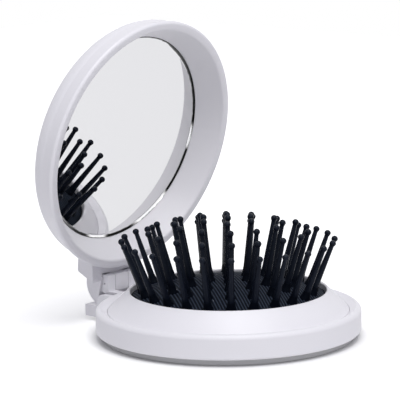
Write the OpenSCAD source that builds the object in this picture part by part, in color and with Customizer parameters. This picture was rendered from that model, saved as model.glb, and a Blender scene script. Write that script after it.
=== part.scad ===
// Folding pocket hairbrush with a mirror in its lid.
// A round base carries a rubber cushion with bristles, a push cup under the
// cushion raises and lowers them, and a lid with a mirror turns on a steel pin.
// Origin: centre of the flat underside. +Z up, hinge at +Y along X.

/* [Base] */
// Radius of the base's outer wall
base_r = 34; // [30:0.5:38]
// Wall of the base shell
base_wall = 3; // [2.6:0.1:3.4]
// Height of the foot ring below the wall
foot_h = 1.8; // [1.6:0.1:2.2]
// How far the foot ring stands in from the wall
foot_inset = 1.8; // [1.4:0.1:2.4]
// Height of the base's outer wall
wall_h = 6.3; // [6:0.1:7]
// Radius of the rounding on top of the wall
crest_r = 1.35; // [0.8:0.05:1.5]
// How far the valley lies below the wall's top
valley_drop = 1.0; // [0.6:0.1:1.2]
// Height of the ledge's underside above the wall's foot
ledge_h = 2.9; // [2.7:0.1:3.1]
// Thickness of the ledge inside the base
ledge_t = 1.2; // [1:0.1:1.4]

/* [Collar] */
// Width of the collar's cone, seen from above
cone_w = 5.9; // [5.6:0.1:6.4]
// Height of the opening's edge above the wall's foot
collar_h = 10.5; // [10.2:0.1:11]
// Height of the upright edge that stops the cushion's rim
clamp_h = 2.0; // [1.8:0.1:2.2]

/* [Cushion] */
// Height of the cushion's crown above the collar's edge
crown_h = 3.1; // [2.8:0.1:3.4]
// Radius of the ball that the dome is cut from
dome_r = 69.3; // [62:0.1:78]
// Thickness of the rubber
pad_t = 1.2; // [1:0.1:1.3]
// Thickness of the upright rim
rim_t = 0.8; // [0.7:0.1:0.9]
// Thickness of the flange that the collar clamps
flange_t = 1.0; // [0.8:0.1:1.1]
// Width of the flange
flange_w = 2.2; // [1.8:0.1:2.4]

/* [Bristles] */
// Rings of bristles round the middle one
rings = 4; // [2:1:4]
// Distance of the outermost bristles from the cushion's rim
bristle_margin = 3.2; // [2.4:0.1:4]
// Length of the middle bristle above the cushion
bristle_len = 16.2; // [9:0.1:17]
// How much shorter the outermost bristles are
outer_cut = 1.2; // [0:0.1:2]
// Radius of a bristle where it leaves the cushion
root_r = 0.95; // [0.7:0.05:1]
// Radius of a bristle under its tip
neck_r = 0.56; // [0.45:0.01:0.65]
// Radius of the ball at the tip
ball_r = 0.85; // [0.7:0.05:0.95]
// Depth below the crown of the point that all bristles point away from
fan_depth = 57; // [55:1:80]
// Depth to which a bristle is pressed into the support plate
root_sink = 1.0; // [0.6:0.1:1.1]
// Turn of the rings about the middle
ring_turn = 42; // [0:1:60]

/* [Push cup] */
// Wall of the cup
cup_wall = 1.6; // [1.2:0.1:1.8]
// Thickness of the cup's floor
cup_floor = 1.6; // [1.2:0.1:2]
// Width of the stop flange round the cup's top
stop_w = 1.1; // [0.8:0.1:1.2]
// Thickness of the stop flange
stop_t = 0.9; // [0.7:0.1:1]
// Radial clearance of the cup in the foot ring
cup_gap = 0.2; // [0.15:0.05:0.3]
// Thickness of the foot ring round the cup
ring_t = 1.2; // [1:0.1:1.4]
// Thickness of the domed plate under the cushion
plate_t = 1.2; // [1:0.1:1.3]

/* [Lid] */
// How much smaller the lid is than the base
lid_inset = 0.2; // [0:0.1:0.6]
// Height of the lid's back at its middle
lid_h = 11.3; // [11.1:0.1:11.8]
// Height of the lid's back at its rounded edge
shoulder_h = 10.5; // [10.4:0.1:10.8]
// Radius of the rounded edge of the back
shoulder_r = 6.5; // [5.5:0.1:7]
// Draft of the lid's wall from the rim to the rounded edge
draft = 0.8; // [0.4:0.1:1]
// Wall of the lid
lid_wall = 1.6; // [1.4:0.1:1.7]
// Gap between the lid and the base when closed
seat_gap = 0.3; // [0.2:0.05:0.5]
// Angle at which the lid stands open
lid_angle = 77; // [0:1:130]

/* [Mirror] */
// Width of the white border between the lid's edge and the mirror
border_w = 6; // [5.6:0.1:6.6]
// Depth of the mirror below the lid's rim
mirror_depth = 7.28; // [6.8:0.02:7.4]
// Thickness of the glass
glass_t = 1.2; // [1:0.1:1.3]
// How far the glass reaches behind its frame
glass_hold = 0.8; // [0.5:0.1:0.9]
// Thickness of the adhesive pad behind the glass
tape_t = 0.45; // [0.3:0.05:0.6]
// How far the adhesive pad stands in from the edge of the glass
tape_inset = 1.5; // [1:0.1:3]
// Width of the lid's lip at the rim
lip_w = 2.3; // [2.2:0.1:2.6]

/* [Hinge] */
// Distance of the pin outside the base's wall
hinge_out = 4.2; // [4.1:0.05:4.6]
// Height of the pin above the lid's rim when closed
hinge_rise = 1.24; // [0.9:0.02:1.4]
// Radius of the knuckles
knuckle_r = 2.5; // [2.3:0.1:2.6]
// Radius of the pin
pin_r = 0.6; // [0.5:0.05:0.8]
// Radius of the small hole through which the pin can be pushed out
push_r = 0.25; // [0.2:0.05:0.4]
// Radial clearance of the pin in the knuckles
pin_gap = 0.05; // [0.02:0.01:0.1]
// Half the width of the lid's knuckle
mid_half = 2.4; // [2:0.1:3]
// Half the width over the base's knuckles
hinge_half = 5.4; // [5:0.1:6]
// Distance of the knuckles' flat front from the pin
knuckle_flat = 1.3; // [1.2:0.1:1.6]
// Thickness of the cheeks that close the block's ends
cheek_t = 0.6; // [0.5:0.1:0.8]
// Distance of the cheeks' flat side from the pin
cheek_flat = 0.75; // [0.7:0.05:1]
// Gap between neighbouring knuckles
side_gap = 0.2; // [0.15:0.05:0.3]
// Radius of the lid's hinge block about the pin
block_r = 5.75; // [5.5:0.05:6]
// Distance of the block's flat side from the pin
block_flat = 1.2; // [1.1:0.1:1.5]
// Clearance of the block in its cradle
cradle_gap = 0.35; // [0.3:0.05:0.45]
// Reach of the cradle beyond the pin
cradle_reach = 4.4; // [4:0.1:4.4]
// Height of the cradle
cradle_h = 3.1; // [2.8:0.1:3.2]
// How far the cradle reaches below the wall
cradle_drop = 0.7; // [0.4:0.1:0.8]
// Half the width of the cradle
cradle_half = 8.3; // [7.8:0.1:9]
// How far the cradle's end walls lie below the top of the base's wall
gusset_drop = 0.8; // [0.6:0.1:1.2]
// Half the width of the block's root on the lid's wall
root_half = 9.3; // [8.8:0.1:10]
// Distance at which the root stops short of the pin
root_gap = 0.6; // [0.4:0.1:1]
// Height of the root above the pin
root_h = 6.7; // [6.2:0.1:7]
// Rounding of the root's outer corner
root_corner = 0.9; // [0.6:0.1:1.4]
// How far the root's outer face leans in towards that corner
root_slope = 1.2; // [0.6:0.1:1.6]
// How far the root's front leans back towards the lid's wall
root_lean = 1.2; // [0.8:0.1:1.6]

/* [Hidden] */
$fn = 120;
rest_gap = 0.1;  // between seated pieces of plastic
soft_gap = 0.3;  // between rubber or glass and what moves past it
hair_gap = 0.03; // between the mirror's frame and the lid's rim, where they are flush
lip_round = 0.8; // rounding of the frame's lip
edge_r = 0.4;    // small rounding of moulded edges
arc_steps = 10;  // straight pieces in each rounded stretch of an outline

// Base, upwards from the flat underside
crest_z = foot_h + wall_h;
valley_z = crest_z - valley_drop;
valley_r = base_r - base_wall;
weld_r = base_r - base_wall * 0.8;  // inside the wall, where other shapes join it
foot_r = base_r - foot_inset;
ledge_z = foot_h + ledge_h;
ledge_top_z = ledge_z + ledge_t;
collar_z = foot_h + collar_h;
opening_r = valley_r - cone_w;

// Cushion: its top is part of a ball, and so are the layers under it
crown_z = collar_z + crown_h;
dome_z = crown_z - dome_r;
pad_r = opening_r - rest_gap;
pad_bore_r = pad_r - rim_t;
pad_edge_z = ball_z(dome_r, pad_r);
flange_r = pad_r + flange_w;
flange_top_z = pad_edge_z - clamp_h;
flange_z = flange_top_z - flange_t;

// Ledge that carries the cushion's flange and the collar
lip_in_r = pad_r + rim_t + rest_gap;
lip_out_r = flange_r + rim_t;
ledge_in_r = pad_r - rest_gap;

// Support plate and push cup, which pass inside the cushion's rim
plate_top_r = dome_r - pad_t - soft_gap;
plate_under_r = plate_top_r - plate_t;
stop_r = pad_bore_r - soft_gap;
cup_r = stop_r - stop_w;
plate_r = stop_r - soft_gap;
stop_top_z = ball_z(plate_under_r, plate_r) - rest_gap;
stop_z = stop_top_z - stop_t;
skirt_r = cup_r - cup_wall - rest_gap;

// Bristles
outer_ring_r = pad_r - bristle_margin;
pitch = outer_ring_r / rings;
per_group = 6;  // bristles in a group; ring k has k groups
fan_z = crown_z - fan_depth;

// Hinge
hinge_y = base_r + hinge_out;
hinge_z = crest_z + seat_gap + hinge_rise;
groove_end = hinge_half + side_gap;
half_block = groove_end + cheek_t;
web_foot = hinge_out + base_wall * 0.2;
web_top = crest_z - edge_r - hinge_z;
web_drop = hinge_z - ledge_z;
pin_end = hinge_half - edge_r * 2;  // where the pin's bore ends on one side
pocket_half = half_block + soft_gap;  // half the width of the hollow for the lid's block
cradle_z = foot_h - cradle_drop;
gusset_r = 1.3;   // rounding of the cradle's end walls
block_end = 102;  // angle at which the block's round side runs into its root
gusset_top = crest_z - gusset_drop - hinge_z;
gusset_foot = cradle_z + cradle_h - hinge_z;

// Lid, measured from its rim plane
lid_r = base_r - lid_inset;
lip_r = lid_r - lip_w;
mirror_r = lid_r - border_w;
glass_r = mirror_r + glass_hold;
edge_x = lid_r - draft;
edge_top = shoulder_h - shoulder_r;
shoulder_x = edge_x - shoulder_r;
cavity_r = lid_r - lid_wall;
cavity_h = mirror_depth + glass_t + tape_t;
cavity_top_r = glass_r + lid_wall / 2;
cavity_straight = cavity_h * 0.28;
back_rise = lid_h - shoulder_h;

function ball_z(radius, x) = dome_z + sqrt(radius * radius - x * x);
function arc(cx, cy, r, from, to) =
    [for (i = [0 : arc_steps]) let (a = from + (to - from) * i / arc_steps)
        [cx + r * cos(a), cy + r * sin(a)]];
function group_name(k, g) = str("bristle_group_", k * (k - 1) / 2 + g);

// A bar along X with the given outline in Y and Z
module across(half_width) {
    rotate([90, 0, 90]) translate([0, 0, -half_width])
        linear_extrude(2 * half_width) children();
}

// A round bar along the hinge axis, from one place along X to another
module along_pin(r, from, to) {
    translate([from, hinge_y, hinge_z]) rotate([0, 90, 0]) cylinder(r = r, h = to - from);
}

// Everything on the lid is drawn closed, then turned open about the pin
module opened() {
    translate([0, hinge_y, hinge_z]) rotate([-lid_angle, 0, 0])
        translate([0, -hinge_y, -hinge_rise]) children();
}

// Wall with a rounded crest, and the ledge inside it
module base_ring() {
    rotate_extrude() polygon(concat(
        [[valley_r, foot_h], [base_r - edge_r, foot_h], [base_r, foot_h + edge_r]],
        arc(base_r - crest_r, crest_z - crest_r, crest_r, 0, 90),
        [[valley_r, valley_z], [valley_r, ledge_top_z], [lip_out_r, ledge_top_z],
         [lip_out_r, flange_z], [lip_in_r, flange_z], [lip_in_r, ledge_top_z],
         [ledge_in_r, ledge_top_z], [ledge_in_r, ledge_z], [valley_r, ledge_z]]));
}

// Round knuckle with a flat front
module flat_knuckle() {
    intersection() {
        circle(knuckle_r);
        translate([-knuckle_flat, -knuckle_r]) square(2 * knuckle_r);
    }
}

// Knuckle of the base and the web that carries it from the wall
module knuckle_outline() {
    translate([hinge_y, hinge_z]) {
        flat_knuckle();
        polygon([
            [-web_foot, web_top], [-knuckle_flat, web_top], [0, 0],
            [-knuckle_r * 0.6, -knuckle_r * 1.2], [-hinge_out, -web_drop],
            [-web_foot, -web_drop]]);
    }
}

// End wall of the cradle, rounded down from the base's wall to the shelf
module gusset_outline() {
    translate([hinge_y, hinge_z]) polygon(concat(
        [[-web_foot, gusset_foot], [-web_foot, gusset_top]],
        arc(-knuckle_r * 0.6, gusset_top - gusset_r, gusset_r, 90, 25),
        [[root_gap, gusset_foot]]));
}

// Shelf under the hinge, hollowed for the lid's block, with a wall at each end
module cradle() {
    difference() {
        union() {
            translate([-cradle_half, 0, cradle_z])
                cube([2 * cradle_half, hinge_y + cradle_reach, cradle_h]);
            across(cradle_half) gusset_outline();
        }
        along_pin(block_r + cradle_gap, -pocket_half, pocket_half);
        cylinder(r = weld_r, h = crest_z);
        cylinder(r = base_r - edge_r, h = foot_h);
    }
}

module base_shell() {
    color("ghostwhite") difference() {
        union() {
            base_ring();
            cradle();
            for (side = [0, 1]) mirror([side, 0, 0])
                difference() {
                    translate([(mid_half + side_gap + hinge_half) / 2, 0, 0])
                        across((hinge_half - mid_half - side_gap) / 2) knuckle_outline();
                    cylinder(r = weld_r, h = 2 * crest_z);
                }
        }
        along_pin(pin_r + pin_gap, -pin_end, 2 * hinge_half);
        along_pin(push_r, -2 * hinge_half, 0);
    }
}

// Cone that closes the base round the cushion and clamps its flange
module collar_ring() {
    out_r = valley_r - rest_gap;
    color("ghostwhite") rotate_extrude() polygon(concat(
        [[out_r, ledge_top_z], [out_r, valley_z]],
        arc(opening_r + edge_r, collar_z - edge_r, edge_r, 45, 180),
        [[opening_r, flange_top_z], [flange_r + rest_gap, flange_top_z],
         [lip_out_r + rest_gap, flange_z], [lip_out_r + rest_gap, ledge_top_z]]));
}

// Flat ring that the brush stands on, with a spigot inside the wall
module bottom_cover() {
    bore_r = cup_r + cup_gap;
    spigot_r = valley_r - rest_gap;
    color("gainsboro") rotate_extrude() polygon([
        [bore_r, 0], [foot_r - edge_r, 0], [foot_r, edge_r], [foot_r, foot_h],
        [spigot_r, foot_h], [spigot_r, ledge_z], [spigot_r - ring_t, ledge_z],
        [spigot_r - ring_t, ring_t], [bore_r, ring_t]]);
}

// Round button under the brush; its flange stops on the foot ring
module push_cup() {
    color("ghostwhite") rotate_extrude() polygon([
        [0, 0], [cup_r - edge_r, 0], [cup_r, edge_r], [cup_r, stop_z], [stop_r, stop_z],
        [stop_r, stop_top_z], [cup_r - cup_wall, stop_top_z], [cup_r - cup_wall, cup_floor],
        [0, cup_floor]]);
}

// Domed plate on a skirt that stands in the cup and pushes the bristles up
module support_plate() {
    color("dimgray") union() {
        intersection() {
            difference() {
                translate([0, 0, dome_z]) sphere(r = plate_top_r);
                translate([0, 0, dome_z]) sphere(r = plate_under_r);
            }
            cylinder(r = plate_r, h = crown_z);
        }
        intersection() {
            difference() {
                translate([0, 0, cup_floor]) cylinder(r = skirt_r, h = crown_z);
                cylinder(r = skirt_r - plate_t, h = 2 * crown_z);
            }
            translate([0, 0, dome_z]) sphere(r = (plate_top_r + plate_under_r) / 2);
        }
    }
}

// Rubber dome with a clamped flange and one hole for each bristle
module cushion_pad() {
    color("#14161f") difference() {
        union() {
            intersection() {
                difference() {
                    translate([0, 0, dome_z]) sphere(r = dome_r);
                    translate([0, 0, dome_z]) sphere(r = dome_r - pad_t);
                }
                cylinder(r = pad_r, h = 2 * crown_z);
            }
            rotate_extrude() polygon([
                [pad_bore_r, flange_z], [flange_r, flange_z], [flange_r, flange_top_z],
                [pad_r, flange_top_z], [pad_r, pad_edge_z - pad_t / 2],
                [pad_bore_r, pad_edge_z - pad_t / 2]]);
        }
        for (k = [1 : rings]) for (g = [1 : k]) each_of(k, g)
            translate([0, 0, -2 * pad_t]) cylinder(r = root_r + rest_gap, h = 4 * pad_t, $fn = 24);
    }
}

// Puts its child on the dome at a distance and angle from the middle, leaning away
// from the fan point
module on_dome(reach, angle) {
    top_z = ball_z(dome_r, reach);
    rotate([0, 0, angle]) translate([reach, 0, top_z])
        rotate([0, atan2(reach, top_z - fan_z), 0]) children();
}

// Puts its child at each bristle of group g in ring k; the first group has the middle one too
module each_of(k, g) {
    for (i = [0 : per_group - 1])
        on_dome(k * pitch, ring_turn + 360 * (i + (g - 1) * per_group) / (k * per_group)) children();
    if (k == 1) on_dome(0, 0) children();
}

// Tapered pin with a ball tip, pressed into the support plate
module bristle(length) {
    ball_z0 = length - ball_r;
    foot = -pad_t - soft_gap - root_sink;
    rotate_extrude($fn = 24) polygon(concat(
        [[0, foot], [root_r, foot], [root_r, 0]],
        arc(0, ball_z0, ball_r, asin(neck_r / ball_r) - 90, 89),
        [[0, length]]));
}

module bristle_group(k, g) {
    share = k * pitch / outer_ring_r;
    color("#10121a") each_of(k, g) bristle(bristle_len - outer_cut * share * share);
}

// Steel pin through both base knuckles and the lid's knuckle
module hinge_pin() {
    color("silver") along_pin(pin_r, rest_gap - pin_end, hinge_half - side_gap);
}

// Outline of the block that turns about the pin, with its flat side at a distance from it
module block_outline(flat) {
    translate([hinge_y, hinge_rise]) polygon(concat(
        [[-root_gap - root_slope, flat]],
        arc(0, 0, block_r, asin(flat / block_r), block_end)));
}

// Outline of the wide root that joins the block to the lid's wall
module root_outline() {
    corner_x = -root_gap - root_slope - root_corner;
    translate([hinge_y, hinge_rise]) polygon(concat(
        [[-hinge_out - lid_wall, cheek_flat + root_lean], [-root_gap, cheek_flat]],
        arc(corner_x, root_h - root_corner, root_corner, 10, 80),
        [[-hinge_out - lid_wall, root_h + root_corner / 2]]));
}

// Outside of the lid: rim, drafted wall, rounded edge and slightly domed back
module lid_outline() {
    polygon(concat(
        [[0, 0], [lid_r - 2 * edge_r, 0]],
        arc(lid_r - 2 * edge_r, 2 * edge_r, 2 * edge_r, -80, 0),
        arc(shoulder_x, edge_top, shoulder_r, 0, 84),
        [for (share = [0.75, 0.5, 0.25, 0])
            [shoulder_x * share, shoulder_h + back_rise * (1 - share * share)]]));
}

module lid_shell() {
    color("ghostwhite") opened() difference() {
        union() {
            rotate_extrude() lid_outline();
            difference() {
                union() {
                    across(root_half) root_outline();
                    across(groove_end) block_outline(block_flat);
                    for (side = [0, 1]) mirror([side, 0, 0])
                        translate([groove_end + cheek_t / 2, 0, 0])
                            across(cheek_t / 2) block_outline(cheek_flat);
                }
                cylinder(r = cavity_r + lid_wall / 4, h = 2 * lid_h);
                for (side = [0, 1]) mirror([side, 0, 0])
                    translate([mid_half, hinge_y, hinge_rise]) rotate([0, 90, 0])
                        cylinder(r = knuckle_r + soft_gap, h = groove_end - mid_half);
            }
            across(mid_half) translate([hinge_y, hinge_rise]) rotate(lid_angle) flat_knuckle();
        }
        rotate_extrude() polygon([
            [0, -edge_r], [cavity_r, -edge_r], [cavity_r, cavity_straight],
            [cavity_top_r, cavity_h], [0, cavity_h]]);
        translate([-2 * half_block, hinge_y, hinge_rise]) rotate([0, 90, 0])
            cylinder(r = pin_r + pin_gap, h = 4 * half_block);
    }
}

// Conical ring between the lid's rim and the mirror, which it holds in
module mirror_frame() {
    out_r = cavity_r - rest_gap;
    color("ghostwhite") opened() rotate_extrude() polygon(concat(
        arc(lip_r + lip_round * tan(30), lip_round, lip_round, 210, 270),
        [[cavity_r - hair_gap, 0], [cavity_r - hair_gap, lip_round],
         [out_r, lip_round + rest_gap], [out_r, cavity_straight],
         [cavity_top_r - rest_gap, cavity_h], [glass_r + rest_gap, cavity_h],
         [glass_r + rest_gap, mirror_depth], [mirror_r, mirror_depth],
         [mirror_r, mirror_depth - edge_r]]));
}

module mirror_glass() {
    color("lightsteelblue") opened()
        translate([0, 0, mirror_depth]) cylinder(r = glass_r, h = glass_t);
}

// Double-sided foam pad that fixes the glass to the lid
module adhesive_pad() {
    color("white") opened()
        translate([0, 0, mirror_depth + glass_t]) cylinder(r = glass_r - tape_inset, h = tape_t);
}

base_shell();
collar_ring();
bottom_cover();
push_cup();
support_plate();
cushion_pad();
for (k = [1 : rings]) for (g = [1 : k])
    bristle_group(k, g);
hinge_pin();
lid_shell();
mirror_frame();
mirror_glass();
adhesive_pad();
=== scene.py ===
import math
import bmesh
import bpy
from mathutils import Matrix, Quaternion, Vector


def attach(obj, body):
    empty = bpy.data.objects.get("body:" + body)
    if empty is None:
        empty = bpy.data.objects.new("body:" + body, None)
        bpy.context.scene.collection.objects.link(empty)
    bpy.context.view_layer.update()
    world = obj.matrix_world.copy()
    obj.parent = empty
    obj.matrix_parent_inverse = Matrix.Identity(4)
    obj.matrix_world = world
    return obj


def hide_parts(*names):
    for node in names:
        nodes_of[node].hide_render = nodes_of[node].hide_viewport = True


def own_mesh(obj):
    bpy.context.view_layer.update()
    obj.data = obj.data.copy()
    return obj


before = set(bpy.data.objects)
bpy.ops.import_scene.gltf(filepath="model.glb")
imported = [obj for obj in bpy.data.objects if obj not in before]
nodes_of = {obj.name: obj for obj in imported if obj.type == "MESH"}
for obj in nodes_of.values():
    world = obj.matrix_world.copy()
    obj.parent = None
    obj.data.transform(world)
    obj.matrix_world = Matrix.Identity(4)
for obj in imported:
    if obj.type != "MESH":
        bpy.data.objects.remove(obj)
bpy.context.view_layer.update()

scene = bpy.context.scene
scene.view_settings.view_transform = "Standard"


# ---- Camera -----------------------------------------------------------------
# A long lens a little above the rim of the base, turned to the left of the hinge,
# so that the mirror is seen half from the side and the base almost edge on.
VIEW_TURN, VIEW_RISE, VIEW_ROLL = -49.173, 9.984, -0.725     # degrees
VIEW_DISTANCE, LENS, SENSOR = 0.6094, 215.99, 36
VIEW_TARGET = Vector((-0.00452, 0.00523, 0.03551))


def looking(turn, rise):
    a, e = math.radians(turn), math.radians(rise)
    return Vector((math.sin(a) * math.cos(e), -math.cos(a) * math.cos(e), math.sin(e)))


view_back = looking(VIEW_TURN, VIEW_RISE)
camera = bpy.data.objects.new("camera", bpy.data.cameras.new("camera"))
scene.collection.objects.link(camera)
camera.location = VIEW_TARGET + view_back * VIEW_DISTANCE
camera.rotation_mode = "QUATERNION"
camera.rotation_quaternion = ((-view_back).to_track_quat("-Z", "Y")
                              @ Quaternion((0, 0, 1), math.radians(VIEW_ROLL)))
camera.data.sensor_width, camera.data.lens = SENSOR, LENS
camera.data.clip_start, camera.data.clip_end = 0.01, 20
scene.camera = camera


# ---- Table, surround and lamps ------------------------------------------------
# A white table that runs on into a white surround. The lamps light the object at a
# plain level; the white comes from what camera and mirror rays see of the surround.
def new_material(name):
    material = bpy.data.materials.new(name)
    material.use_nodes = True
    tree = material.node_tree
    return material, tree, tree.nodes["Principled BSDF"], tree.links.new


def feed(socket, value):
    """Links a socket to another one, or sets it to a plain value."""
    if isinstance(value, bpy.types.NodeSocket):
        socket.id_data.links.new(value, socket)
    else:
        socket.default_value = value


def number(tree, operation, *values):
    """A Math node fed by sockets or plain numbers."""
    node = tree.nodes.new("ShaderNodeMath")
    node.operation = operation
    for socket, value in zip(node.inputs, values):
        feed(socket, value)
    return node.outputs[0]


def kinds_of_ray(tree):
    """Two outputs that are 1 for camera rays, and for mirror rays or rays through glass."""
    light_path = tree.nodes.new("ShaderNodeLightPath")
    onward = number(tree, "MAXIMUM", light_path.outputs["Is Glossy Ray"],
                    light_path.outputs["Is Transmission Ray"])
    return light_path.outputs["Is Camera Ray"], onward


TABLE_COLOR = (0.80, 0.80, 0.80)
TABLE_GLOW, FAR_GLOW = 0.36, 0.62        # beside the object, and from FAR_AT outward
SHADE_R, CLEAR_R = 0.0325, 0.0385        # no glow within the first, so the object's own shadow shows; from there to the second the glow rises: a painted shadow round the base
MIRRORED_GLOW = 0.18                     # as the mirror shows it
BOUNCE_GLOW = 0.08                       # what it throws back up at the object
NEAR_AT, FAR_AT, TABLE_REACH = 0.06, 0.20, 0.60
material, tree, bsdf, link = new_material("table_white")
bsdf.inputs["Base Color"].default_value = (*TABLE_COLOR, 1)
bsdf.inputs["Roughness"].default_value = 0.8
bsdf.inputs["Emission Color"].default_value = (1, 1, 1, 1)
place = tree.nodes.new("ShaderNodeTexCoord")
away = tree.nodes.new("ShaderNodeVectorMath")
away.operation = "LENGTH"
link(place.outputs["Object"], away.inputs[0])
spread = 0.0
for start, end, amount in ((SHADE_R, CLEAR_R, TABLE_GLOW), (NEAR_AT, FAR_AT, FAR_GLOW - TABLE_GLOW)):
    rising = tree.nodes.new("ShaderNodeMapRange")
    rising.inputs["From Min"].default_value, rising.inputs["From Max"].default_value = start, end
    rising.inputs["To Max"].default_value = amount
    link(away.outputs["Value"], rising.inputs["Value"])
    spread = number(tree, "ADD", rising.outputs["Result"], spread)
seen, mirrored = kinds_of_ray(tree)
strength = BOUNCE_GLOW
for kind, value in ((seen, spread), (mirrored, MIRRORED_GLOW)):
    mix = tree.nodes.new("ShaderNodeMix")
    link(kind, mix.inputs["Factor"])
    feed(mix.inputs["A"], strength)
    feed(mix.inputs["B"], value)
    strength = mix.outputs["Result"]
link(strength, bsdf.inputs["Emission Strength"])
table_mesh = bpy.data.meshes.new("table")
table_mesh.from_pydata([(TABLE_REACH * x, TABLE_REACH * y, 0)
                        for x, y in ((-1, -1), (1, -1), (1, 1), (-1, 1))], [], [(0, 1, 2, 3)])
table_mesh.materials.append(material)
table = bpy.data.objects.new("table", table_mesh)
scene.collection.objects.link(table)

SURROUND_TINT, SURROUND_LIGHT = (0.91, 0.91, 1.0), 0.42
world = bpy.data.worlds.new("surround")
scene.world = world
world.use_nodes = True
tree, link = world.node_tree, world.node_tree.links.new
plain = tree.nodes["Background"]
plain.inputs["Color"].default_value = (*SURROUND_TINT, 1)
plain.inputs["Strength"].default_value = SURROUND_LIGHT
white = tree.nodes.new("ShaderNodeBackground")
white.inputs["Color"].default_value = (1, 1, 1, 1)
white.inputs["Strength"].default_value = 1.0
choice = tree.nodes.new("ShaderNodeMixShader")
seen, mirrored = kinds_of_ray(tree)
link(number(tree, "MAXIMUM", seen, mirrored), choice.inputs[0])
link(plain.outputs[0], choice.inputs[1])
link(white.outputs[0], choice.inputs[2])
link(choice.outputs[0], tree.nodes["World Output"].inputs["Surface"])

# name, place, size, power: a broad lamp above the front, and a weak one before the object
LAMPS = [("top", (-0.22, -0.36, 1.05), 0.80, 8.5), ("front", (-0.36, -0.80, 0.60), 0.50, 0.8)]
for name, place, size, power in LAMPS:
    lamp = bpy.data.lights.new(name, "AREA")
    lamp.shape, lamp.size, lamp.energy = "DISK", size, power
    holder = bpy.data.objects.new(name, lamp)
    holder.location = place
    holder.rotation_mode = "QUATERNION"
    holder.rotation_quaternion = (-Vector(place)).to_track_quat("-Z", "Y")
    scene.collection.objects.link(holder)


# ---- White shells: base, collar, lid, mirror frame and push cup -----------------
# Injection-moulded ABS with a satin gloss, white with a faint lilac tint. The solids
# carry the whole shape, so only their finish is set here: a fine mould texture,
# handling marks in the gloss, and a faint cloudy change of tone.
def new_group(name, sockets):
    """A shader group with the given (name, kind, in or out, default) sockets."""
    group = bpy.data.node_groups.new(name, "ShaderNodeTree")
    for label, kind, way, value in sockets:
        socket = group.interface.new_socket(label, in_out=way, socket_type=kind)
        if value is not None:
            socket.default_value = value
    return (group, group.nodes.new("NodeGroupInput"), group.nodes.new("NodeGroupOutput"),
            group.links.new)


moulded, given, put, link = new_group("moulded_skin", [
    ("Color", "NodeSocketColor", "INPUT", (0.8, 0.8, 0.8, 1)),
    ("Shade", "NodeSocketColor", "INPUT", (0.7, 0.7, 0.7, 1)),
    ("Roughness", "NodeSocketFloat", "INPUT", 0.3),
    ("Marks", "NodeSocketFloat", "INPUT", 0.08),
    ("Texture size", "NodeSocketFloat", "INPUT", 2500.0),
    ("Color", "NodeSocketColor", "OUTPUT", None),
    ("Roughness", "NodeSocketFloat", "OUTPUT", None),
    ("Height", "NodeSocketFloat", "OUTPUT", None)])
place = moulded.nodes.new("ShaderNodeTexCoord")
cloud = moulded.nodes.new("ShaderNodeTexNoise")
cloud.inputs["Scale"].default_value = 40
cloud.inputs["Detail"].default_value = 2
link(place.outputs["Object"], cloud.inputs["Vector"])
tint = moulded.nodes.new("ShaderNodeMix")
tint.data_type = "RGBA"
link(cloud.outputs["Fac"], tint.inputs["Factor"])
link(given.outputs["Color"], tint.inputs["A"])
link(given.outputs["Shade"], tint.inputs["B"])
link(tint.outputs["Result"], put.inputs["Color"])
rubs = moulded.nodes.new("ShaderNodeTexNoise")
rubs.inputs["Scale"].default_value = 180
rubs.inputs["Detail"].default_value = 5
link(place.outputs["Object"], rubs.inputs["Vector"])
rub_range = moulded.nodes.new("ShaderNodeMapRange")
rub_range.inputs["From Min"].default_value = 0.35
rub_range.inputs["From Max"].default_value = 0.75
link(rubs.outputs["Fac"], rub_range.inputs["Value"])
rub_share = moulded.nodes.new("ShaderNodeMath")
rub_share.operation = "MULTIPLY_ADD"
link(rub_range.outputs["Result"], rub_share.inputs[0])
link(given.outputs["Marks"], rub_share.inputs[1])
link(given.outputs["Roughness"], rub_share.inputs[2])
link(rub_share.outputs[0], put.inputs["Roughness"])
pores = moulded.nodes.new("ShaderNodeTexNoise")
pores.inputs["Detail"].default_value = 2
link(place.outputs["Object"], pores.inputs["Vector"])
link(given.outputs["Texture size"], pores.inputs["Scale"])
link(pores.outputs["Fac"], put.inputs["Height"])


def moulded_plastic(name, color, shade, roughness, marks, texture, depth):
    """A moulded plastic: colour, its duller tone, gloss, handling marks and pore depth."""
    material, tree, bsdf, link = new_material(name)
    skin = tree.nodes.new("ShaderNodeGroup")
    skin.node_tree = moulded
    skin.inputs["Color"].default_value = (*color, 1)
    skin.inputs["Shade"].default_value = (*shade, 1)
    skin.inputs["Roughness"].default_value = roughness
    skin.inputs["Marks"].default_value = marks
    skin.inputs["Texture size"].default_value = texture
    relief = tree.nodes.new("ShaderNodeBump")
    relief.inputs["Strength"].default_value = 0.35
    relief.inputs["Distance"].default_value = depth
    link(skin.outputs["Color"], bsdf.inputs["Base Color"])
    link(skin.outputs["Roughness"], bsdf.inputs["Roughness"])
    link(skin.outputs["Height"], relief.inputs["Height"])
    link(relief.outputs["Normal"], bsdf.inputs["Normal"])
    bsdf.inputs["IOR"].default_value = 1.5
    return material


def finish_nodes(material, *names):
    """Gives CAD nodes their finish."""
    for name in names:
        nodes_of[name].data.materials.clear()
        nodes_of[name].data.materials.append(material)


SHELL_COLOR, SHELL_SHADE = (0.775, 0.765, 0.803), (0.765, 0.755, 0.793)
white_abs = moulded_plastic("white_abs", SHELL_COLOR, SHELL_SHADE, roughness=0.40, marks=0.05,
                            texture=3200, depth=0.000004)
finish_nodes(white_abs, "base_shell", "collar_ring", "lid_shell", "mirror_frame", "push_cup")
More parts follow.
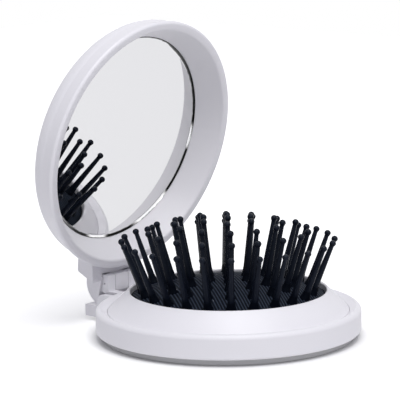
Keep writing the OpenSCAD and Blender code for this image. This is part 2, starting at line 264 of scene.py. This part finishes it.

# ---- Foot ring, support plate, hinge pin and foam -------------------------------
# The foot ring closes the base from below. Its grey, with a duller finish, is painted shade
# under the base. The plate under the cushion is moulded in black. The pin is a length of drawn
# steel wire, and a pad of double-sided foam holds the mirror to the lid.
# painted shade: the foot's grey stands in for the dark band of shade under the wall
foot_plastic = moulded_plastic("foot_plastic", (0.45, 0.45, 0.46), (0.42, 0.42, 0.43),
                               roughness=0.48, marks=0.12, texture=1500, depth=0.00004)
finish_nodes(foot_plastic, "bottom_cover")
plate_plastic = moulded_plastic("plate_plastic", (0.030, 0.030, 0.036), (0.022, 0.022, 0.026),
                                roughness=0.45, marks=0.12, texture=1500, depth=0.00004)
finish_nodes(plate_plastic, "support_plate")
foam = moulded_plastic("foam", (0.70, 0.70, 0.67), (0.60, 0.60, 0.57),
                       roughness=0.85, marks=0.1, texture=900, depth=0.0001)
finish_nodes(foam, "adhesive_pad")

material, tree, bsdf, link = new_material("pin_steel")
place = tree.nodes.new("ShaderNodeTexCoord")
draw = tree.nodes.new("ShaderNodeMapping")
draw.inputs["Scale"].default_value = (60, 3000, 3000)
lines = tree.nodes.new("ShaderNodeTexNoise")
lines.inputs["Scale"].default_value = 1
lines.inputs["Detail"].default_value = 3
link(place.outputs["Object"], draw.inputs["Vector"])
link(draw.outputs["Vector"], lines.inputs["Vector"])
ramp = tree.nodes.new("ShaderNodeMapRange")
ramp.inputs["To Min"].default_value, ramp.inputs["To Max"].default_value = 0.22, 0.42
link(lines.outputs["Fac"], ramp.inputs["Value"])
link(ramp.outputs["Result"], bsdf.inputs["Roughness"])
bsdf.inputs["Base Color"].default_value = (0.42, 0.42, 0.44, 1)
bsdf.inputs["Metallic"].default_value = 1
finish_nodes(material, "hinge_pin")


# ---- Where the bristles stand ----------------------------------------------------
# Four rings of 6, 12, 18 and 24 round a middle one, all begun on the same line. Every
# place lies on the ball of the dome, and every bristle leans away from one point.
MM = 0.001
DOME_R, CROWN_Z = 69.3 * MM, 15.4 * MM
DOME_Z = CROWN_Z - DOME_R
FAN_Z = CROWN_Z - 57 * MM
OUTER_RING_R = 21.8 * MM
RINGS, PER_RING = 4, 6
RING_TURN = math.radians(42)


def geometry_tree(name, inputs):
    """A Geometry Nodes tree with one geometry output and named number inputs."""
    tree = bpy.data.node_groups.new(name, "GeometryNodeTree")
    tree.interface.new_socket("Geometry", in_out="INPUT", socket_type="NodeSocketGeometry")
    for label, kind, value in inputs:
        socket = tree.interface.new_socket(label, in_out="INPUT", socket_type=kind)
        if value is not None:
            socket.default_value = value
    tree.interface.new_socket("Geometry", in_out="OUTPUT", socket_type="NodeSocketGeometry")
    return tree, tree.nodes.new("NodeGroupInput"), tree.nodes.new("NodeGroupOutput"), tree.links.new


places, given, put, link = geometry_tree("bristle_places", [
    ("Outer radius", "NodeSocketFloat", OUTER_RING_R), ("Turn", "NodeSocketFloat", RING_TURN),
    ("Dome radius", "NodeSocketFloat", DOME_R), ("Dome centre", "NodeSocketFloat", DOME_Z)])
rings = places.nodes.new("GeometryNodeJoinGeometry")
middle = places.nodes.new("GeometryNodePoints")
link(middle.outputs[0], rings.inputs[0])
for k in range(1, RINGS + 1):
    circle = places.nodes.new("GeometryNodeMeshCircle")
    circle.inputs["Vertices"].default_value = k * PER_RING
    link(number(places, "MULTIPLY", given.outputs["Outer radius"], k / RINGS),
         circle.inputs["Radius"])
    points = places.nodes.new("GeometryNodeMeshToPoints")
    link(circle.outputs[0], points.inputs[0])
    link(points.outputs[0], rings.inputs[0])
turned = places.nodes.new("GeometryNodeTransform")
axis = places.nodes.new("ShaderNodeCombineXYZ")
link(given.outputs["Turn"], axis.inputs["Z"])
link(rings.outputs[0], turned.inputs["Geometry"])
link(axis.outputs[0], turned.inputs["Rotation"])
spot = places.nodes.new("GeometryNodeInputPosition")
apart = places.nodes.new("ShaderNodeSeparateXYZ")
link(spot.outputs[0], apart.inputs[0])
reach2 = number(places, "ADD", number(places, "MULTIPLY", apart.outputs["X"], apart.outputs["X"]),
                number(places, "MULTIPLY", apart.outputs["Y"], apart.outputs["Y"]))
ball2 = number(places, "MULTIPLY", given.outputs["Dome radius"], given.outputs["Dome radius"])
height = number(places, "ADD", number(places, "SQRT", number(places, "SUBTRACT", ball2, reach2)),
                given.outputs["Dome centre"])
onto = places.nodes.new("ShaderNodeCombineXYZ")
link(apart.outputs["X"], onto.inputs["X"])
link(apart.outputs["Y"], onto.inputs["Y"])
link(height, onto.inputs["Z"])
set_onto = places.nodes.new("GeometryNodeSetPosition")
link(turned.outputs[0], set_onto.inputs["Geometry"])
link(onto.outputs[0], set_onto.inputs["Position"])
link(set_onto.outputs[0], put.inputs[0])


# what bristles and boots have alike, so that both waver the same way
STANDING = [("Fan point", "NodeSocketFloat", FAN_Z), ("Waver", "NodeSocketFloat", 1.1 * MM),
            ("Seed", "NodeSocketInt", 3), ("Material", "NodeSocketMaterial", None)]


def stand_at_places(tree, link, given, thing, scale=None):
    """Puts one instance of thing at each bristle place, leaning away from the fan point."""
    where = tree.nodes.new("GeometryNodeGroup")
    where.node_tree = places
    spot = tree.nodes.new("GeometryNodeInputPosition")
    away = tree.nodes.new("ShaderNodeVectorMath")
    away.operation = "SUBTRACT"
    origin = tree.nodes.new("ShaderNodeCombineXYZ")
    link(given.outputs["Fan point"], origin.inputs["Z"])
    link(spot.outputs[0], away.inputs[0])
    link(origin.outputs[0], away.inputs[1])
    waver = tree.nodes.new("FunctionNodeRandomValue")
    waver.data_type = "FLOAT_VECTOR"
    waver.inputs["Min"].default_value = (-1, -1, 0)
    waver.inputs["Max"].default_value = (1, 1, 0)
    link(given.outputs["Seed"], waver.inputs["Seed"])
    amount = tree.nodes.new("ShaderNodeVectorMath")
    amount.operation = "SCALE"
    link(waver.outputs[0], amount.inputs[0])
    link(given.outputs["Waver"], amount.inputs["Scale"])
    lean = tree.nodes.new("ShaderNodeVectorMath")
    lean.operation = "ADD"
    link(away.outputs[0], lean.inputs[0])
    link(amount.outputs[0], lean.inputs[1])
    turn = tree.nodes.new("FunctionNodeAlignRotationToVector")
    turn.axis = "Z"
    link(lean.outputs[0], turn.inputs["Vector"])
    stand = tree.nodes.new("GeometryNodeInstanceOnPoints")
    link(where.outputs[0], stand.inputs["Points"])
    link(thing, stand.inputs["Instance"])
    link(turn.outputs[0], stand.inputs["Rotation"])
    if scale is not None:
        link(scale, stand.inputs["Scale"])
    real = tree.nodes.new("GeometryNodeRealizeInstances")
    link(stand.outputs[0], real.inputs[0])
    return real.outputs[0]


def lathed(tree, link, levels, sides, height_of, radius_of):
    """A closed body of revolution about Z. height_of(share) builds the nodes for the height
    of each level, and radius_of(height) those for its radius."""
    line = tree.nodes.new("GeometryNodeMeshLine")
    line.inputs["Count"].default_value = levels
    step = tree.nodes.new("GeometryNodeInputIndex")
    lift = tree.nodes.new("ShaderNodeCombineXYZ")
    link(height_of(number(tree, "DIVIDE", step.outputs[0], levels - 1)), lift.inputs["Z"])
    laid = tree.nodes.new("GeometryNodeSetPosition")
    link(line.outputs[0], laid.inputs["Geometry"])
    link(lift.outputs[0], laid.inputs["Position"])
    curve = tree.nodes.new("GeometryNodeMeshToCurve")
    link(laid.outputs[0], curve.inputs[0])
    spot = tree.nodes.new("GeometryNodeInputPosition")
    apart = tree.nodes.new("ShaderNodeSeparateXYZ")
    link(spot.outputs[0], apart.inputs[0])
    sized = tree.nodes.new("GeometryNodeSetCurveRadius")
    link(curve.outputs[0], sized.inputs["Curve"])
    link(radius_of(apart.outputs["Z"]), sized.inputs["Radius"])
    outline = tree.nodes.new("GeometryNodeCurvePrimitiveCircle")
    outline.inputs["Resolution"].default_value = sides
    outline.inputs["Radius"].default_value = 1
    skin = tree.nodes.new("GeometryNodeCurveToMesh")
    link(sized.outputs[0], skin.inputs["Curve"])
    link(outline.outputs[0], skin.inputs["Profile Curve"])
    skin.inputs["Fill Caps"].default_value = True
    if "Scale" in skin.inputs:
        radius = tree.nodes.new("GeometryNodeInputRadius")
        link(radius.outputs[0], skin.inputs["Scale"])
    return skin.outputs[0]


def paint(tree, link, geometry, given, put):
    """Ends a tree: its geometry takes the tree's material and goes out."""
    painted = tree.nodes.new("GeometryNodeSetMaterial")
    link(geometry, painted.inputs["Geometry"])
    link(given.outputs["Material"], painted.inputs["Material"])
    link(painted.outputs[0], put.inputs[0])


def grown(name, tree, material, values):
    """Evaluates a tree on an empty mesh and keeps its result as a plain, clean mesh object."""
    seedling = bpy.data.objects.new(name + "_tree", bpy.data.meshes.new(name + "_tree"))
    scene.collection.objects.link(seedling)
    modifier = seedling.modifiers.new("grow", "NODES")
    modifier.node_group = tree
    for item in tree.interface.items_tree:
        if item.in_out == "INPUT" and item.name in values:
            modifier[item.identifier] = values[item.name]
    bpy.context.view_layer.update()
    ready = seedling.evaluated_get(bpy.context.evaluated_depsgraph_get())
    mesh = bpy.data.meshes.new_from_object(ready)
    bpy.data.objects.remove(seedling)
    mesh.name = name
    bm = bmesh.new()
    bm.from_mesh(mesh)
    bmesh.ops.remove_doubles(bm, verts=bm.verts, dist=2e-6)
    bmesh.ops.recalc_face_normals(bm, faces=bm.faces)
    bm.to_mesh(mesh)
    bm.free()
    mesh.materials.clear()
    mesh.materials.append(material)
    mesh.polygons.foreach_set("use_smooth", [True] * len(mesh.polygons))
    piece = bpy.data.objects.new(name, mesh)
    scene.collection.objects.link(piece)
    return piece


# ---- Bristles --------------------------------------------------------------------
# Tapered black nylon pins with a ball at the tip, moulded in one piece with a root that
# is pressed into the plate under the cushion.
BRISTLE_LEN, OUTER_CUT, ROOT_DEPTH = 16.2 * MM, 1.2 * MM, 2.5 * MM
ROOT_R, NECK_R, BALL_R = 0.93 * MM, 0.56 * MM, 0.85 * MM

material, tree, bsdf, link = new_material("bristle_nylon")
place = tree.nodes.new("ShaderNodeTexCoord")
mottle = tree.nodes.new("ShaderNodeTexNoise")
mottle.inputs["Scale"].default_value = 420
mottle.inputs["Detail"].default_value = 3
link(place.outputs["Object"], mottle.inputs["Vector"])
tone = tree.nodes.new("ShaderNodeMix")
tone.data_type = "RGBA"
tone.inputs["A"].default_value = (0.0030, 0.0045, 0.0095, 1)
tone.inputs["B"].default_value = (0.0090, 0.0115, 0.0200, 1)
link(mottle.outputs["Fac"], tone.inputs["Factor"])
link(tone.outputs["Result"], bsdf.inputs["Base Color"])
gloss = tree.nodes.new("ShaderNodeMapRange")
gloss.inputs["To Min"].default_value, gloss.inputs["To Max"].default_value = 0.18, 0.30
link(mottle.outputs["Fac"], gloss.inputs["Value"])
link(gloss.outputs["Result"], bsdf.inputs["Roughness"])
bsdf.inputs["IOR"].default_value = 1.45
bsdf.inputs["Specular IOR Level"].default_value = 0.12
bsdf.inputs["Specular Tint"].default_value = (0.80, 0.90, 1.0, 1)
bristle_nylon = material

tree, given, put, link = geometry_tree("bristle_field", [
    ("Length", "NodeSocketFloat", BRISTLE_LEN), ("Outer cut", "NodeSocketFloat", OUTER_CUT),
    ("Root depth", "NodeSocketFloat", ROOT_DEPTH), ("Root radius", "NodeSocketFloat", ROOT_R),
    ("Neck radius", "NodeSocketFloat", NECK_R), ("Ball radius", "NodeSocketFloat", BALL_R),
    *STANDING])
ball_at = number(tree, "SUBTRACT", given.outputs["Length"], given.outputs["Ball radius"])


def bristle_height(share):
    """Levels lie close together near the tip, so that the ball comes out round."""
    along = number(tree, "SUBTRACT", 1, number(
        tree, "POWER", number(tree, "SUBTRACT", 1, share), 2.1))
    whole = number(tree, "ADD", given.outputs["Length"], given.outputs["Root depth"])
    return number(tree, "SUBTRACT", number(tree, "MULTIPLY", along, whole),
                  given.outputs["Root depth"])


def bristle_radius(z):
    """The ball near the tip, and below it a shaft that widens to the root."""
    from_ball = number(tree, "SUBTRACT", z, ball_at)
    ball2 = number(tree, "MULTIPLY", given.outputs["Ball radius"], given.outputs["Ball radius"])
    ball = number(tree, "SQRT", number(tree, "MAXIMUM", 0, number(
        tree, "SUBTRACT", ball2, number(tree, "MULTIPLY", from_ball, from_ball))))
    up = number(tree, "MINIMUM", 1, number(tree, "MAXIMUM", 0, number(tree, "DIVIDE", z, ball_at)))
    slim = number(tree, "MULTIPLY", number(tree, "SUBTRACT", given.outputs["Root radius"],
                                           given.outputs["Neck radius"]),
                  number(tree, "POWER", number(tree, "SUBTRACT", 1, up), 1.15))
    shaft = number(tree, "MULTIPLY", number(tree, "ADD", given.outputs["Neck radius"], slim),
                   number(tree, "LESS_THAN", from_ball, 0))
    return number(tree, "MAXIMUM", ball, shaft)


bristle = lathed(tree, link, 30, 14, bristle_height, bristle_radius)
# the outer bristles are a little shorter
spot = tree.nodes.new("GeometryNodeInputPosition")
flat = tree.nodes.new("ShaderNodeVectorMath")
flat.operation = "MULTIPLY"
flat.inputs[1].default_value = (1 / OUTER_RING_R, 1 / OUTER_RING_R, 0)
link(spot.outputs[0], flat.inputs[0])
out_share = tree.nodes.new("ShaderNodeVectorMath")
out_share.operation = "DOT_PRODUCT"
link(flat.outputs[0], out_share.inputs[0])
link(flat.outputs[0], out_share.inputs[1])
cut = number(tree, "DIVIDE", number(tree, "MULTIPLY", out_share.outputs["Value"],
                                    given.outputs["Outer cut"]), given.outputs["Length"])
size = tree.nodes.new("ShaderNodeCombineXYZ")
size.inputs["X"].default_value = size.inputs["Y"].default_value = 1
link(number(tree, "SUBTRACT", 1, cut), size.inputs["Z"])
paint(tree, link, stand_at_places(tree, link, given, bristle, size.outputs[0]), given, put)

bristles = grown("bristles", tree, bristle_nylon, {"Material": bristle_nylon})
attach(bristles, "cup")
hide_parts(*["bristle_group_%d" % i for i in range(1, 11)])
# shut, the tips lie under the mirror at z 15.7 mm and above the collar's edge at z 12.3 mm
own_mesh(bristles)


# ---- Cushion ---------------------------------------------------------------------
# A thin dome of black rubber, ribbed all over, clamped at its rim under the collar.
PAD_R, PAD_T, PAD_RIM_Z = 25.0 * MM, 1.2 * MM, 10.745 * MM
RIB_PITCH, RIB_H = 0.78 * MM, 0.24 * MM
RIB_TURN = math.radians(54)
LINES_PER_RIB, POINTS_ALONG = 6, 90

material, tree, bsdf, link = new_material("cushion_rubber")
place = tree.nodes.new("ShaderNodeTexCoord")
bloom = tree.nodes.new("ShaderNodeTexNoise")
bloom.inputs["Scale"].default_value = 160
bloom.inputs["Detail"].default_value = 5
link(place.outputs["Object"], bloom.inputs["Vector"])
tone = tree.nodes.new("ShaderNodeMix")
tone.data_type = "RGBA"
tone.inputs["A"].default_value = (0.0010, 0.0018, 0.0045, 1)
tone.inputs["B"].default_value = (0.0025, 0.0040, 0.0090, 1)
link(bloom.outputs["Fac"], tone.inputs["Factor"])
# the ridges of the ribs are painted paler than the grooves: rubbed wear, and a painted sheen where
# they catch the light
ridge = tree.nodes.new("ShaderNodeAttribute")
ridge.attribute_name = "ridge"
ridge_wear_and_sheen = tree.nodes.new("ShaderNodeMix")
ridge_wear_and_sheen.data_type = "RGBA"
ridge_wear_and_sheen.inputs["B"].default_value = (0.042, 0.054, 0.080, 1)
link(number(tree, "POWER", ridge.outputs["Fac"], 3), ridge_wear_and_sheen.inputs["Factor"])
link(tone.outputs["Result"], ridge_wear_and_sheen.inputs["A"])
specks = tree.nodes.new("ShaderNodeTexVoronoi")
specks.feature = "F1"
specks.inputs["Scale"].default_value = 230
link(place.outputs["Object"], specks.inputs["Vector"])
dust = tree.nodes.new("ShaderNodeMapRange")
dust.inputs["From Min"].default_value, dust.inputs["From Max"].default_value = 0.045, 0.030
link(specks.outputs["Distance"], dust.inputs["Value"])
dusty = tree.nodes.new("ShaderNodeMix")
dusty.data_type = "RGBA"
dusty.inputs["B"].default_value = (0.35, 0.36, 0.38, 1)
link(dust.outputs["Result"], dusty.inputs["Factor"])
link(ridge_wear_and_sheen.outputs["Result"], dusty.inputs["A"])
link(dusty.outputs["Result"], bsdf.inputs["Base Color"])
bsdf.inputs["Roughness"].default_value = 0.55
bsdf.inputs["IOR"].default_value = 1.5
bsdf.inputs["Specular IOR Level"].default_value = 0.06
bsdf.inputs["Specular Tint"].default_value = (0.80, 0.90, 1.0, 1)
cushion_rubber = material

# the sheet: lines along the ribs, each as long as the disc is wide there
bm = bmesh.new()
LINES = int(2 * PAD_R / RIB_PITCH) * LINES_PER_RIB
rows = []
for i in range(LINES + 1):
    across = PAD_R * (2 * i / LINES - 1)
    half = math.sqrt(max(0.0, PAD_R * PAD_R - across * across))
    row = []
    for j in range(POINTS_ALONG + 1):
        along = half * (2 * j / POINTS_ALONG - 1)
        height = DOME_Z + math.sqrt(DOME_R * DOME_R - along * along - across * across)
        row.append(bm.verts.new((along, across, height)))
    rows.append(row)
for a, b in zip(rows, rows[1:]):
    for j in range(POINTS_ALONG):
        bm.faces.new((a[j], a[j + 1], b[j + 1], b[j]))
bmesh.ops.remove_doubles(bm, verts=bm.verts, dist=1e-6)
rim = [e for e in bm.edges if e.is_boundary]
drop = bmesh.ops.extrude_edge_only(bm, edges=rim)["geom"]
low = [v for v in drop if isinstance(v, bmesh.types.BMVert)]
for v in low:
    v.co.z = PAD_RIM_Z - PAD_T
bmesh.ops.edgeloop_fill(bm, edges=[e for e in drop if isinstance(e, bmesh.types.BMEdge)
                                   and e.is_boundary])
bmesh.ops.recalc_face_normals(bm, faces=bm.faces)
sheet_mesh = bpy.data.meshes.new("cushion_sheet")
bm.to_mesh(sheet_mesh)
bm.free()
sheet = bpy.data.objects.new("cushion_sheet", sheet_mesh)

tree, given, put, link = geometry_tree("cushion_ribs", [
    ("Sheet", "NodeSocketObject", None), ("Rib pitch", "NodeSocketFloat", RIB_PITCH),
    ("Rib height", "NodeSocketFloat", RIB_H), ("Rib turn", "NodeSocketFloat", RIB_TURN),
    ("Material", "NodeSocketMaterial", None)])
fetch = tree.nodes.new("GeometryNodeObjectInfo")
link(given.outputs["Sheet"], fetch.inputs["Object"])
spot = tree.nodes.new("GeometryNodeInputPosition")
apart = tree.nodes.new("ShaderNodeSeparateXYZ")
link(spot.outputs[0], apart.inputs[0])
turns = number(tree, "MULTIPLY", number(tree, "DIVIDE", apart.outputs["Y"],
                                        given.outputs["Rib pitch"]), 2 * math.pi)
wave = number(tree, "MULTIPLY_ADD", number(tree, "COSINE", turns), 0.5, 0.5)
reach = tree.nodes.new("ShaderNodeVectorMath")
reach.operation = "LENGTH"
flat = tree.nodes.new("ShaderNodeCombineXYZ")
link(apart.outputs["X"], flat.inputs["X"])
link(apart.outputs["Y"], flat.inputs["Y"])
link(flat.outputs[0], reach.inputs[0])
fade = tree.nodes.new("ShaderNodeMapRange")
fade.inputs["From Min"].default_value = PAD_R
fade.inputs["From Max"].default_value = PAD_R - 0.6 * MM
link(reach.outputs["Value"], fade.inputs["Value"])
rise = number(tree, "MULTIPLY", number(tree, "MULTIPLY", number(tree, "SQRT", wave),
                                       given.outputs["Rib height"]), fade.outputs["Result"])
sink = number(tree, "SUBTRACT", rise, number(tree, "MULTIPLY", given.outputs["Rib height"],
                                             fade.outputs["Result"]))
raised = tree.nodes.new("GeometryNodeSetPosition")
offset = tree.nodes.new("ShaderNodeCombineXYZ")
link(sink, offset.inputs["Z"])
marked = tree.nodes.new("GeometryNodeStoreNamedAttribute")
marked.inputs["Name"].default_value = "ridge"
link(fetch.outputs["Geometry"], marked.inputs["Geometry"])
link(number(tree, "MULTIPLY", wave, fade.outputs["Result"]), marked.inputs["Value"])
link(marked.outputs["Geometry"], raised.inputs["Geometry"])
link(offset.outputs[0], raised.inputs["Offset"])
turned = tree.nodes.new("GeometryNodeTransform")
axis = tree.nodes.new("ShaderNodeCombineXYZ")
link(given.outputs["Rib turn"], axis.inputs["Z"])
link(raised.outputs[0], turned.inputs["Geometry"])
link(axis.outputs[0], turned.inputs["Rotation"])
paint(tree, link, turned.outputs[0], given, put)

scene.collection.objects.link(sheet)
cushion = grown("cushion", tree, cushion_rubber, {"Sheet": sheet, "Material": cushion_rubber})
bpy.data.objects.remove(sheet)
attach(cushion, "base")
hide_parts("cushion_pad")
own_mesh(cushion)


# ---- Rubber boots ----------------------------------------------------------------
# A short cone of the cushion's rubber stands round the root of each bristle. It goes
# down with the bristle.
BOOT_R, BOOT_TOP_R, BOOT_H, BOOT_SINK = 1.42 * MM, 0.93 * MM, 2.2 * MM, 0.55 * MM

tree, given, put, link = geometry_tree("rubber_boots", [
    ("Foot radius", "NodeSocketFloat", BOOT_R), ("Top radius", "NodeSocketFloat", BOOT_TOP_R),
    ("Height", "NodeSocketFloat", BOOT_H), ("Sink", "NodeSocketFloat", BOOT_SINK),
    *STANDING])


def boot_height(share):
    whole = number(tree, "ADD", given.outputs["Height"], given.outputs["Sink"])
    return number(tree, "SUBTRACT", number(tree, "MULTIPLY", share, whole), given.outputs["Sink"])


def boot_radius(z):
    """The side curves in from the foot to the top."""
    up = number(tree, "MINIMUM", 1, number(tree, "MAXIMUM", 0, number(
        tree, "DIVIDE", z, given.outputs["Height"])))
    spare = number(tree, "SUBTRACT", given.outputs["Foot radius"], given.outputs["Top radius"])
    narrow = number(tree, "POWER", number(tree, "SUBTRACT", 1, up), 2.0)
    return number(tree, "ADD", given.outputs["Top radius"], number(
        tree, "MULTIPLY", narrow, spare))


boot = lathed(tree, link, 7, 16, boot_height, boot_radius)
paint(tree, link, stand_at_places(tree, link, given, boot), given, put)
boots = grown("rubber_boots", tree, cushion_rubber, {"Material": cushion_rubber})
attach(boots, "cup")
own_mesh(boots)


# ---- Mirror ----------------------------------------------------------------------
# A round of silvered glass. Its ground edge carries painted glints at some turns and, at the others,
# a dark line that is partly the silver's end and partly painted shade.
HINGE_Y, HINGE_Z, HINGE_RISE = 38.2 * MM, 9.64 * MM, 1.24 * MM
OPEN_ANGLE = math.radians(77)
MIRROR_DEPTH, GLASS_T, GLASS_R, SEEN_R = 7.28 * MM, 1.2 * MM, 28.6 * MM, 27.8 * MM

# from the shut lid, measured from its rim plane, to the open one
opened = (Matrix.Translation((0, HINGE_Y, HINGE_Z)) @ Matrix.Rotation(-OPEN_ANGLE, 4, "X")
          @ Matrix.Translation((0, -HINGE_Y, -HINGE_RISE)))


def revolved(name, outline, turns, place):
    """A closed body of revolution about Z from (radius, height) points, put in its place."""
    bm = bmesh.new()
    rings = []
    for radius, height in outline:
        if radius < 1e-7:
            rings.append([bm.verts.new((0, 0, height))] * turns)
        else:
            rings.append([bm.verts.new((radius * math.cos(2 * math.pi * i / turns),
                                        radius * math.sin(2 * math.pi * i / turns), height))
                          for i in range(turns)])
    for a, b in zip(rings, rings[1:]):
        for i in range(turns):
            corners = []
            for v in (a[i], a[(i + 1) % turns], b[(i + 1) % turns], b[i]):
                if v not in corners:
                    corners.append(v)
            if len(corners) > 2:
                bm.faces.new(corners)
    bmesh.ops.recalc_face_normals(bm, faces=bm.faces)
    mesh = bpy.data.meshes.new(name)
    bm.to_mesh(mesh)
    bm.free()
    mesh.transform(place)
    piece = bpy.data.objects.new(name, mesh)
    scene.collection.objects.link(piece)
    return piece


# where the flat mirror ends, and a ground edge that curves up from there
EDGE_R = 26.85 * MM
COVE_W, COVE_H, COVE_STEPS = 0.84 * MM, 0.42 * MM, 6
COVE_STEP = math.radians(15)
SEAM_TOP = MIRROR_DEPTH + 0.30 * MM
cove = [(EDGE_R + COVE_W * math.sin(COVE_STEP * i),
         MIRROR_DEPTH - COVE_H * (1 - math.cos(COVE_STEP * i))) for i in range(COVE_STEPS)]
glass = revolved("mirror_disc", [(0, MIRROR_DEPTH), *cove, (SEEN_R - 0.06 * MM, SEAM_TOP),
                                 (GLASS_R, SEAM_TOP), (GLASS_R, MIRROR_DEPTH + GLASS_T),
                                 (0, MIRROR_DEPTH + GLASS_T)], 180, opened)

# the UV of the disc: the turn from the lid's right side, and the reach from its middle
shut = opened.inverted()
turns = glass.data.uv_layers.new(name="turn_and_reach")
for face in glass.data.polygons:
    spots = [shut @ glass.data.vertices[glass.data.loops[i].vertex_index].co
             for i in face.loop_indices]
    middle = sum(spots, Vector()) / len(spots)
    base_turn = math.atan2(-middle.y, middle.x)
    for i, spot in zip(face.loop_indices, spots):
        reach = math.hypot(spot.x, spot.y)
        turn = math.atan2(-spot.y, spot.x) if reach > 1e-6 else base_turn
        turn += 2 * math.pi * round((base_turn - turn) / (2 * math.pi))
        turns.data[i].uv = (0.5 + turn / (2 * math.pi), reach / GLASS_R)

material, tree, bsdf, link = new_material("silvered_glass")
place = tree.nodes.new("ShaderNodeTexCoord")
smears = tree.nodes.new("ShaderNodeTexNoise")
smears.inputs["Scale"].default_value = 70
smears.inputs["Detail"].default_value = 4
smears.inputs["Distortion"].default_value = 1.2
link(place.outputs["Object"], smears.inputs["Vector"])
haze = tree.nodes.new("ShaderNodeMapRange")
haze.inputs["From Min"].default_value, haze.inputs["From Max"].default_value = 0.4, 0.8
haze.inputs["To Min"].default_value, haze.inputs["To Max"].default_value = 0.006, 0.020
link(smears.outputs["Fac"], haze.inputs["Value"])
edge_uv = tree.nodes.new("ShaderNodeSeparateXYZ")
link(place.outputs["UV"], edge_uv.inputs[0])
# the edge is ragged: a fine noise along the turn moves its lines in and out
ragged = tree.nodes.new("ShaderNodeTexNoise")
ragged.inputs["Scale"].default_value = 900
ragged.inputs["Detail"].default_value = 3
link(place.outputs["Object"], ragged.inputs["Vector"])
RAGGED = 0.010
ragged_reach = number(tree, "ADD", edge_uv.outputs["Y"], number(
    tree, "MULTIPLY", number(tree, "SUBTRACT", ragged.outputs["Fac"], 0.5), RAGGED))


def share_of(radius_mm):
    return radius_mm * MM / GLASS_R


def steps(tree, value, stops):
    """A ramp of greys over 0 to 1 from (place, grey) stops."""
    ramp = tree.nodes.new("ShaderNodeValToRGB")
    ramp.color_ramp.elements[0].position = stops[0][0]
    ramp.color_ramp.elements[0].color = (*[stops[0][1]] * 3, 1)
    ramp.color_ramp.elements[1].position = stops[-1][0]
    ramp.color_ramp.elements[1].color = (*[stops[-1][1]] * 3, 1)
    for place, grey in stops[1:-1]:
        ramp.color_ramp.elements.new(place).color = (*[grey] * 3, 1)
    tree.links.new(value, ramp.inputs[0])
    return ramp.outputs[0]


def at_turns(*degrees_and_values):
    return [(0.5 + turn / 360, value) for turn, value in degrees_and_values]


MIRROR_TONE, PAINTED_DARK, PAINTED_GLINT = 0.82, 0.012, 0.98
# the dark line of painted shade is narrower near the top
is_narrow_shade = steps(tree, edge_uv.outputs["X"], at_turns((-20, 0), (58, 0), (66, 1), (110, 1)))
dark_reach = number(tree, "SUBTRACT", ragged_reach, number(
    tree, "MULTIPLY", is_narrow_shade, 0.40 * MM / GLASS_R))
# shade kind of edge: one dark line before the frame, partly painted shade. glint kind: a ground
# bevel painted bright as a glint, between two dark lines
shade_line_edge = steps(tree, dark_reach, [(share_of(27.00), MIRROR_TONE), (share_of(27.08), PAINTED_DARK),
                                     (share_of(27.74), PAINTED_DARK), (share_of(27.80), 0.30)])
glint_edge = steps(tree, ragged_reach, [
    (share_of(26.72), MIRROR_TONE), (share_of(26.78), PAINTED_DARK), (share_of(26.86), PAINTED_DARK),
    (share_of(26.90), PAINTED_GLINT), (share_of(27.58), PAINTED_GLINT), (share_of(27.66), PAINTED_DARK),
    (share_of(27.80), PAINTED_DARK)])
# the turns where the edge is painted with a glint
is_glint = steps(tree, edge_uv.outputs["X"], at_turns(
    (-109, 0), (-105, 1), (-94, 1), (-91, 0), (-71, 0), (-66, 1), (-43, 1), (-40, 0), (-14, 0),
    (-11, 1), (-1, 1), (2, 0), (40, 0)))
is_edge = steps(tree, edge_uv.outputs["X"], at_turns(
    (-150, 0), (-130, 0.8), (-120, 1), (10, 1), (60, 0.9), (98, 0.7), (112, 0)))
kind = tree.nodes.new("ShaderNodeMix")
kind.data_type = "RGBA"
link(is_glint, kind.inputs["Factor"])
link(shade_line_edge, kind.inputs["A"])
link(glint_edge, kind.inputs["B"])
silver = tree.nodes.new("ShaderNodeMix")
silver.data_type = "RGBA"
silver.inputs["A"].default_value = (MIRROR_TONE, MIRROR_TONE, MIRROR_TONE, 1)
link(is_edge, silver.inputs["Factor"])
link(kind.outputs["Result"], silver.inputs["B"])
link(silver.outputs["Result"], bsdf.inputs["Base Color"])
ground = number(tree, "MULTIPLY", number(tree, "GREATER_THAN", edge_uv.outputs["Y"],
                                         EDGE_R / GLASS_R), 0.10)
link(number(tree, "ADD", haze.outputs["Result"], ground), bsdf.inputs["Roughness"])
bsdf.inputs["Metallic"].default_value = 1
glass.data.materials.append(material)
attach(glass, "lid")
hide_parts("mirror_glass")
